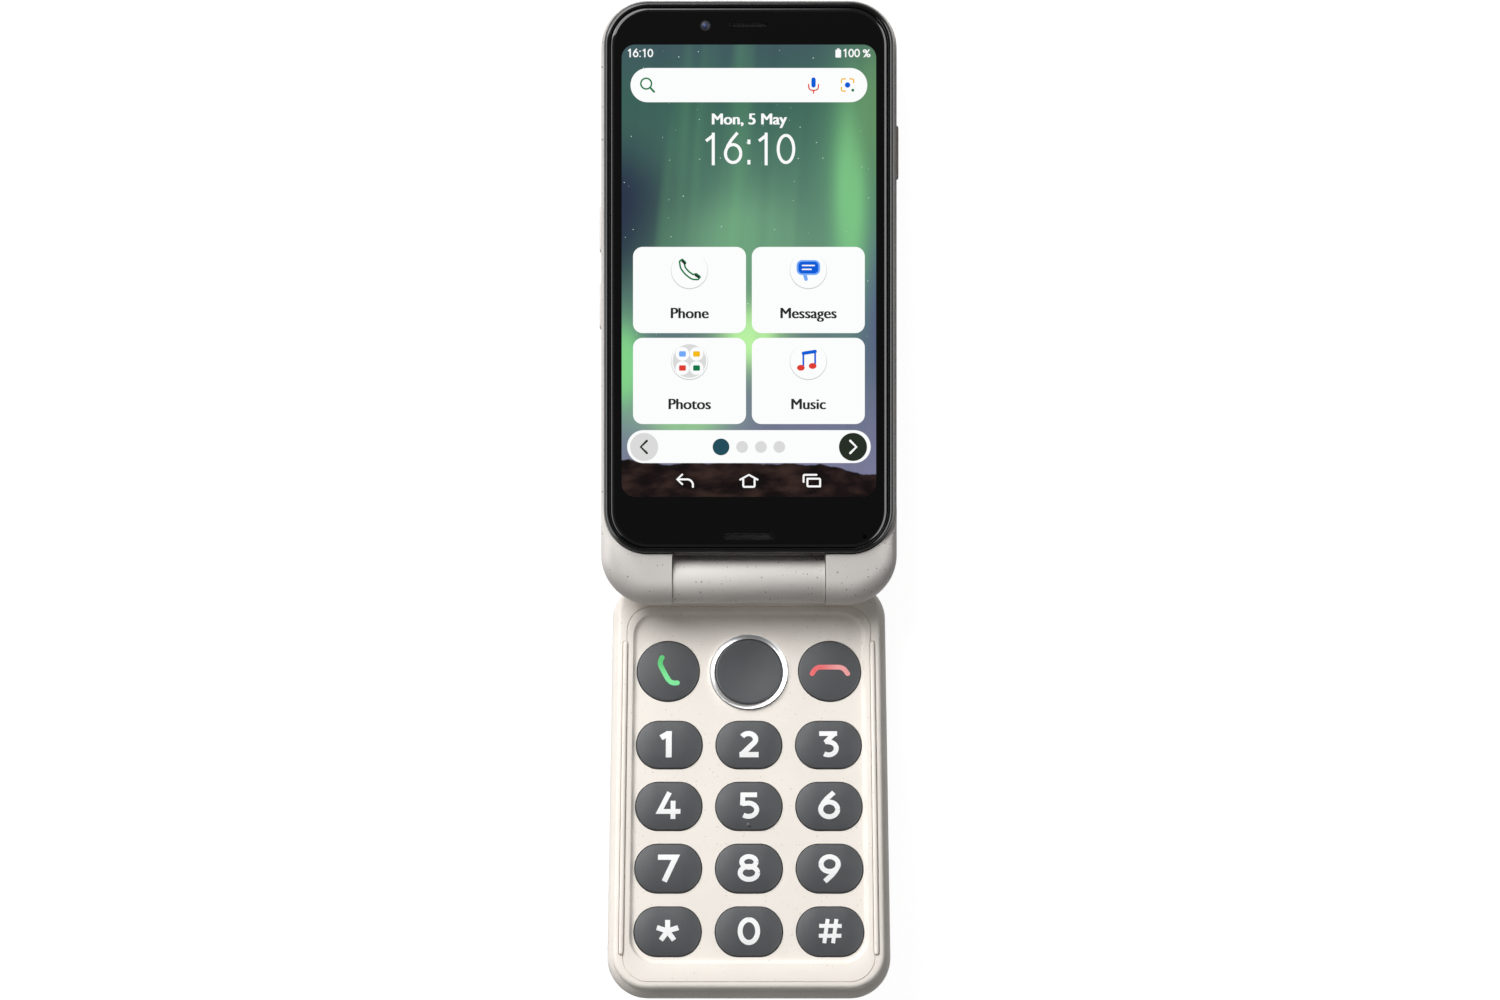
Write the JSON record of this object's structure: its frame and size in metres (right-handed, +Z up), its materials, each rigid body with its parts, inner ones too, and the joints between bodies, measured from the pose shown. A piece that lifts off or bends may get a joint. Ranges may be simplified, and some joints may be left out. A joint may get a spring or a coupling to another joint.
{
  "type": "folding smartphone",
  "caption": "Open folding phone: a tall touch screen half and a narrower keypad half with round-ended keys, joined by a barrel hinge.",
  "frame": {"origin": "on the table under the middle of the open phone, which lies on the back edges of both halves", "axes": "+Z up; +Y from the keypad half towards the screen half's far end; X along the hinge, +X at the right of someone who reads the screen"},
  "size_m": [0.0666, 0.2174, 0.0422],
  "materials": {
    "stone_plastic": "speckled stone-coloured moulding",
    "taupe_plastic": "satin",
    "key_plastic": "satin, printed",
    "black_gloss": "piano gloss",
    "cover_glass": "polished",
    "display": "lit",
    "ring_metal": "polished",
    "steel": "plain",
    "circuit_board": "solder mask",
    "battery_wrap": "wrapped",
    "silicone": "moulded",
    "clear_film": "film"
  },
  "bodies": {
    "screen_half": {"rear_shell": "stone_plastic", "battery_cover": "stone_plastic", "front_frame": "black_gloss", "cover_glass": "cover_glass", "display_panel": "display", "mid_plate": "steel", "battery": "battery_wrap", "main_board": "circuit_board", "shield_can": "steel", "sim_socket": "steel", "rear_camera": "cover_glass", "flash_lamp": "clear_film", "camera_window": "cover_glass", "vibration_motor": "steel", "front_camera": "cover_glass", "earpiece": "steel", "earpiece_mesh": "black_gloss", "loudspeaker": "steel", "chin_mesh": "black_gloss", "microphone": "steel", "usb_port": "steel", "hinge_cam_pin": "steel", "hinge_plain_pin": "steel"},
    "keypad_half": {"keypad_frame": "stone_plastic", "keypad_rear_shell": "stone_plastic", "hinge_barrel": "stone_plastic", "hinge_cartridge": "steel", "hinge_bush": "steel", "hinge_flex": "clear_film", "left_bumper": "stone_plastic", "right_bumper": "stone_plastic", "keypad_mat": "silicone", "dome_sheet": "clear_film", "keypad_board": "circuit_board", "closing_magnet": "steel", "nav_ring": "ring_metal", "keypad_screw_1": "steel", "keypad_screw_2": "steel", "keypad_screw_3": "steel", "keypad_screw_4": "steel"},
    "key_1": {"key_1": "key_plastic"},
    "key_2": {"key_2": "key_plastic"},
    "key_3": {"key_3": "key_plastic"},
    "key_4": {"key_4": "key_plastic"},
    "key_5": {"key_5": "key_plastic"},
    "key_6": {"key_6": "key_plastic"},
    "key_7": {"key_7": "key_plastic"},
    "key_8": {"key_8": "key_plastic"},
    "key_9": {"key_9": "key_plastic"},
    "key_star": {"key_star": "key_plastic"},
    "key_0": {"key_0": "key_plastic"},
    "key_hash": {"key_hash": "key_plastic"},
    "call_key": {"call_key": "key_plastic"},
    "end_key": {"end_key": "key_plastic"},
    "nav_plunger": {"nav_plunger": "silicone"},
    "nav_carrier": {"nav_carrier": "silicone"},
    "nav_key": {"nav_key": "key_plastic"},
    "volume_up_key": {"volume_up_key": "stone_plastic"},
    "volume_down_key": {"volume_down_key": "stone_plastic"},
    "power_key": {"power_key": "taupe_plastic"}
  },
  "joints": [
    {"name": "fold", "type": "hinge", "parent": "screen_half", "child": "keypad_half", "pos_m": [0, -0.01985, 0.01416], "axis": [-1, 0, 0], "range_deg": [0, 161]},
    {"name": "key_1_press", "type": "slide", "parent": "keypad_half", "child": "key_1", "axis": [0, -0.39, -0.9208], "range_m": [0, 0.0004], "stiffness_N_per_m": 300},
    {"name": "key_2_press", "type": "slide", "parent": "keypad_half", "child": "key_2", "axis": [0, -0.39, -0.9208], "range_m": [0, 0.0004], "stiffness_N_per_m": 300},
    {"name": "key_3_press", "type": "slide", "parent": "keypad_half", "child": "key_3", "axis": [0, -0.39, -0.9208], "range_m": [0, 0.0004], "stiffness_N_per_m": 300},
    {"name": "key_4_press", "type": "slide", "parent": "keypad_half", "child": "key_4", "axis": [0, -0.39, -0.9208], "range_m": [0, 0.0004], "stiffness_N_per_m": 300},
    {"name": "key_5_press", "type": "slide", "parent": "keypad_half", "child": "key_5", "axis": [0, -0.39, -0.9208], "range_m": [0, 0.0004], "stiffness_N_per_m": 300},
    {"name": "key_6_press", "type": "slide", "parent": "keypad_half", "child": "key_6", "axis": [0, -0.39, -0.9208], "range_m": [0, 0.0004], "stiffness_N_per_m": 300},
    {"name": "key_7_press", "type": "slide", "parent": "keypad_half", "child": "key_7", "axis": [0, -0.39, -0.9208], "range_m": [0, 0.0004], "stiffness_N_per_m": 300},
    {"name": "key_8_press", "type": "slide", "parent": "keypad_half", "child": "key_8", "axis": [0, -0.39, -0.9208], "range_m": [0, 0.0004], "stiffness_N_per_m": 300},
    {"name": "key_9_press", "type": "slide", "parent": "keypad_half", "child": "key_9", "axis": [0, -0.39, -0.9208], "range_m": [0, 0.0004], "stiffness_N_per_m": 300},
    {"name": "key_star_press", "type": "slide", "parent": "keypad_half", "child": "key_star", "axis": [0, -0.39, -0.9208], "range_m": [0, 0.0004], "stiffness_N_per_m": 300},
    {"name": "key_0_press", "type": "slide", "parent": "keypad_half", "child": "key_0", "axis": [0, -0.39, -0.9208], "range_m": [0, 0.0004], "stiffness_N_per_m": 300},
    {"name": "key_hash_press", "type": "slide", "parent": "keypad_half", "child": "key_hash", "axis": [0, -0.39, -0.9208], "range_m": [0, 0.0004], "stiffness_N_per_m": 300},
    {"name": "call_key_press", "type": "slide", "parent": "keypad_half", "child": "call_key", "axis": [0, -0.39, -0.9208], "range_m": [0, 0.0004], "stiffness_N_per_m": 300},
    {"name": "end_key_press", "type": "slide", "parent": "keypad_half", "child": "end_key", "axis": [0, -0.39, -0.9208], "range_m": [0, 0.0004], "stiffness_N_per_m": 300},
    {"name": "nav_plunger_press", "type": "slide", "parent": "keypad_half", "child": "nav_plunger", "axis": [0, -0.39, -0.9208], "range_m": [0, 0.0003], "stiffness_N_per_m": 300},
    {"name": "nav_tilt_up_down", "type": "hinge", "parent": "nav_plunger", "child": "nav_carrier", "pos_m": [0, -0.04066, 0.01375], "axis": [1, 0, 0], "range_deg": [-1.5, 1.5], "stiffness_Nm_per_rad": 0.05},
    {"name": "nav_tilt_left_right", "type": "hinge", "parent": "nav_carrier", "child": "nav_key", "pos_m": [0, -0.04066, 0.01375], "axis": [0, 0.9208, -0.39], "range_deg": [-1.5, 1.5], "stiffness_Nm_per_rad": 0.05},
    {"name": "volume_up_key_press", "type": "slide", "parent": "screen_half", "child": "volume_up_key", "axis": [1, 0, 0], "range_m": [0, 0.0003], "stiffness_N_per_m": 400},
    {"name": "volume_down_key_press", "type": "slide", "parent": "screen_half", "child": "volume_down_key", "axis": [1, 0, 0], "range_m": [0, 0.0003], "stiffness_N_per_m": 400},
    {"name": "power_key_press", "type": "slide", "parent": "screen_half", "child": "power_key", "axis": [-1, 0, 0], "range_m": [0, 0.0003], "stiffness_N_per_m": 400}
  ]
}
